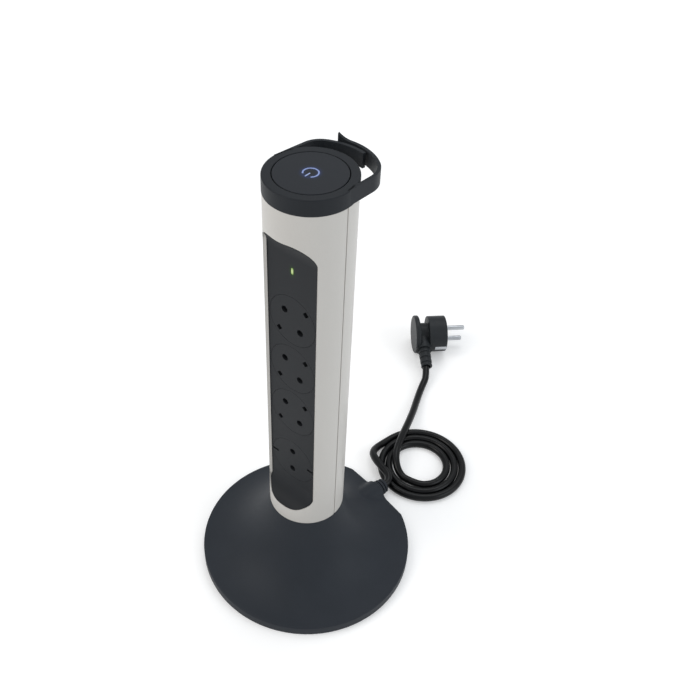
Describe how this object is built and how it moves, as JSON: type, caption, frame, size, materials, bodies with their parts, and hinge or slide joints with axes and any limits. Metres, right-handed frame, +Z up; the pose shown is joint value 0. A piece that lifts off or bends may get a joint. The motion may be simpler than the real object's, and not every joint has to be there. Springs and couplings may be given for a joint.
{
  "type": "tower extension lead",
  "caption": "Upright tower extension lead: round weighted base, split column with a recessed socket panel, push button on top, cable loop, coiled mains cord with plug.",
  "frame": {"origin": "on the floor, on the axis of the column", "axes": "+Z up, sockets face -Y, the mains cord leaves the base at the rear, ten degrees off +Y towards +X"},
  "size_m": [0.1781, 0.3826, 0.3702],
  "materials": {
    "dark_plastic": "fine satin grain",
    "light_plastic": "smooth satin",
    "panel_plastic": "fine satin grain",
    "inner_plastic": "plain",
    "cord_rubber": "soft satin",
    "foot_rubber": "matt",
    "steel": "zinc plated",
    "brass": "bare",
    "board": "lacquered",
    "wire_cover": "smooth",
    "lamp_green": "clear",
    "lamp_blue": "clear"
  },
  "bodies": {
    "tower": {"base_cover": "dark_plastic", "top_cap": "dark_plastic", "front_shell": "light_plastic", "rear_shell": "light_plastic", "socket_panel": "panel_plastic", "base_plate": "inner_plastic", "cord_clamp": "inner_plastic", "column_foot": "inner_plastic", "foot_lock_ring": "inner_plastic", "socket_carrier": "inner_plastic", "carrier_back_cover": "inner_plastic", "terminal_block": "inner_plastic", "switch_bracket": "inner_plastic", "power_switch": "inner_plastic", "plug_cover": "inner_plastic", "plug_insert": "inner_plastic", "cord_gland": "cord_rubber", "mains_cord_start": "cord_rubber", "mains_cord_coil": "cord_rubber", "mains_cord_end": "cord_rubber", "inner_lead": "cord_rubber", "plug_strain_relief": "cord_rubber", "rubber_feet": "foot_rubber", "base_weight": "steel", "base_screws": "steel", "clamp_screws": "steel", "foot_screws": "steel", "column_screws": "steel", "disc_spring_1": "steel", "disc_spring_2": "steel", "disc_spring_3": "steel", "disc_spring_4": "steel", "button_spring": "steel", "plug_pins": "steel", "plug_earth_clip": "steel", "live_busbar": "brass", "neutral_busbar": "brass", "earth_busbar": "brass", "surge_board": "board", "button_light_board": "board", "inner_wires": "wire_cover", "led_light_pipe": "lamp_green"},
    "push_button": {"push_button": "dark_plastic", "power_symbol_light_guide": "lamp_blue", "switch_plunger": "inner_plastic"},
    "socket_disc_1": {"socket_disc_1": "panel_plastic"},
    "shutter_1": {"shutter_1": "inner_plastic"},
    "socket_disc_2": {"socket_disc_2": "panel_plastic"},
    "shutter_2": {"shutter_2": "inner_plastic"},
    "socket_disc_3": {"socket_disc_3": "panel_plastic"},
    "shutter_3": {"shutter_3": "inner_plastic"},
    "socket_disc_4": {"socket_disc_4": "panel_plastic"},
    "shutter_4": {"shutter_4": "inner_plastic"}
  },
  "joints": [
    {"name": "button_press", "type": "slide", "parent": "tower", "child": "push_button", "axis": [0, 0, -1], "range_m": [0, 0.0026], "stiffness_N_per_m": 1200, "springref_m": -0.001, "deforming": ["button_spring"]},
    {"name": "disc_1_push", "type": "slide", "parent": "tower", "child": "socket_disc_1", "axis": [0, 1, 0], "range_m": [0, 0.009], "stiffness_N_per_m": 400, "springref_m": -0.002, "deforming": ["disc_spring_1"]},
    {"name": "shutter_1_turn", "type": "hinge", "parent": "socket_disc_1", "child": "shutter_1", "pos_m": [0, -0.0127, 0.2623], "axis": [0, 1, 0], "range_deg": [0, 36], "stiffness_Nm_per_rad": 0.004, "springref_deg": -8.59},
    {"name": "disc_2_push", "type": "slide", "parent": "tower", "child": "socket_disc_2", "axis": [0, 1, 0], "range_m": [0, 0.009], "stiffness_N_per_m": 400, "springref_m": -0.002, "deforming": ["disc_spring_2"]},
    {"name": "shutter_2_turn", "type": "hinge", "parent": "socket_disc_2", "child": "shutter_2", "pos_m": [0, -0.0127, 0.2192], "axis": [0, 1, 0], "range_deg": [0, 36], "stiffness_Nm_per_rad": 0.004, "springref_deg": -8.59},
    {"name": "disc_3_push", "type": "slide", "parent": "tower", "child": "socket_disc_3", "axis": [0, 1, 0], "range_m": [0, 0.009], "stiffness_N_per_m": 400, "springref_m": -0.002, "deforming": ["disc_spring_3"]},
    {"name": "shutter_3_turn", "type": "hinge", "parent": "socket_disc_3", "child": "shutter_3", "pos_m": [0, -0.0127, 0.1761], "axis": [0, 1, 0], "range_deg": [0, 36], "stiffness_Nm_per_rad": 0.004, "springref_deg": -8.59},
    {"name": "disc_4_push", "type": "slide", "parent": "tower", "child": "socket_disc_4", "axis": [0, 1, 0], "range_m": [0, 0.009], "stiffness_N_per_m": 400, "springref_m": -0.002, "deforming": ["disc_spring_4"]},
    {"name": "shutter_4_turn", "type": "hinge", "parent": "socket_disc_4", "child": "shutter_4", "pos_m": [0, -0.0127, 0.124], "axis": [0, 1, 0], "range_deg": [0, 36], "stiffness_Nm_per_rad": 0.004, "springref_deg": -8.59}
  ]
}
